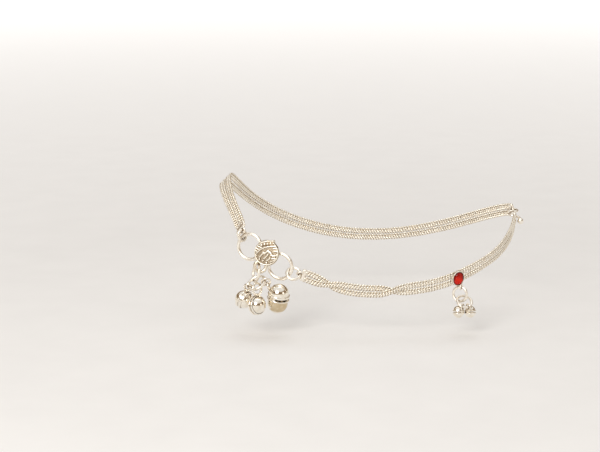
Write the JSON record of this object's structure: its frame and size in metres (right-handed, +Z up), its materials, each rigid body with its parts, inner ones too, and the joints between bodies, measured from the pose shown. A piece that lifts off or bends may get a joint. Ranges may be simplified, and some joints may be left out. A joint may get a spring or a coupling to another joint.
{
  "type": "payal anklet",
  "caption": "Fine chain-band payal anklet in its worn loop, with a round motif between two rings, a cluster of bells, a red stone station with small bells, and a hook clasp.",
  "frame": {"origin": "middle of the opening where the ankle goes, level with the middle height of the loop", "axes": "+X along the foot from the toes to the heel, -Y to the side that shows its motif and bells, +Z up along the ankle"},
  "size_m": [0.1022, 0.0705, 0.0416],
  "materials": {
    "silver_chain": "polished silver links, lightly tarnished between",
    "silver_wire": "polished silver wire",
    "silver_motif": "stamped silver, bright on the relief and dark in the grooves",
    "silver_bell": "mirror polished silver",
    "red_stone": "faceted red glass"
  },
  "bodies": {
    "root": {"front_strand_1": "silver_chain", "front_strand_2": "silver_chain", "front_strand_3": "silver_chain", "front_strand_4": "silver_chain", "near_strand_1": "silver_chain", "near_strand_2": "silver_chain", "near_strand_3": "silver_chain", "near_strand_4": "silver_chain", "front_ring": "silver_wire", "rear_ring": "silver_wire", "front_link": "silver_wire", "near_link": "silver_wire", "drop_ring_upper": "silver_wire", "drop_ring_lower": "silver_wire", "drop_ring_side": "silver_wire", "station_ring_upper": "silver_wire", "station_ring_lower": "silver_wire", "front_band_end": "silver_wire", "near_band_end": "silver_wire", "far_band_back_end": "silver_wire", "near_band_back_end": "silver_wire", "clasp": "silver_wire", "motif": "silver_motif", "bell_left": "silver_bell", "bell_middle": "silver_bell", "bell_right": "silver_bell", "station_bell_left": "silver_bell", "station_bell_right": "silver_bell", "stone_setting": "silver_wire", "stone": "red_stone"}
  },
  "joints": []
}
